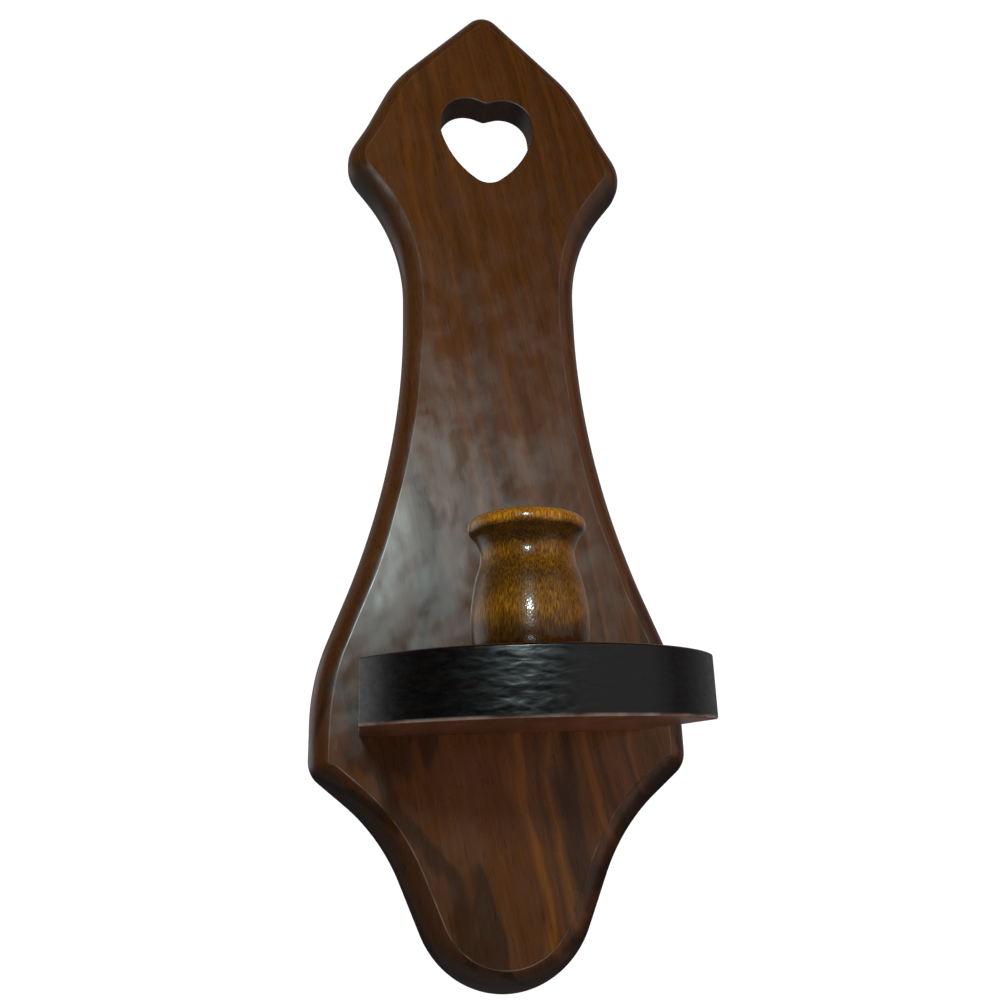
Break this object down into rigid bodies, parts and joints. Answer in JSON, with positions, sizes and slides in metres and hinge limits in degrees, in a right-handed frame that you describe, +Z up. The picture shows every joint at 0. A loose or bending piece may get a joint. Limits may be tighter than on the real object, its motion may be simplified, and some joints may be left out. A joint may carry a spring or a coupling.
{
  "type": "candle wall sconce",
  "caption": "Dark stained wooden wall sconce: a shaped backboard with a heart cut-out and routed edge, a bow-fronted shelf, and a turned cup that holds a candle.",
  "frame": {"origin": "where the wall nail carries the hanger: on the plane of the wall, on the centre line", "axes": "+Z up, +Y into the wall, +X to the right of someone facing the wall"},
  "size_m": [0.1392, 0.117, 0.4095],
  "materials": {
    "board_wood": "semi-gloss dark walnut stain",
    "shelf_wood": "semi-gloss dark walnut stain",
    "cup_wood": "glossy amber brown lacquer",
    "screw_steel": "zinc plated steel",
    "hanger_steel": "plated sheet steel"
  },
  "bodies": {
    "root": {"backboard": "board_wood", "shelf": "shelf_wood", "candle_cup": "cup_wood", "shelf_screw_left": "screw_steel", "shelf_screw_right": "screw_steel", "cup_screw": "screw_steel", "sawtooth_hanger": "hanger_steel", "hanger_brad_left": "hanger_steel", "hanger_brad_right": "hanger_steel"}
  },
  "joints": []
}
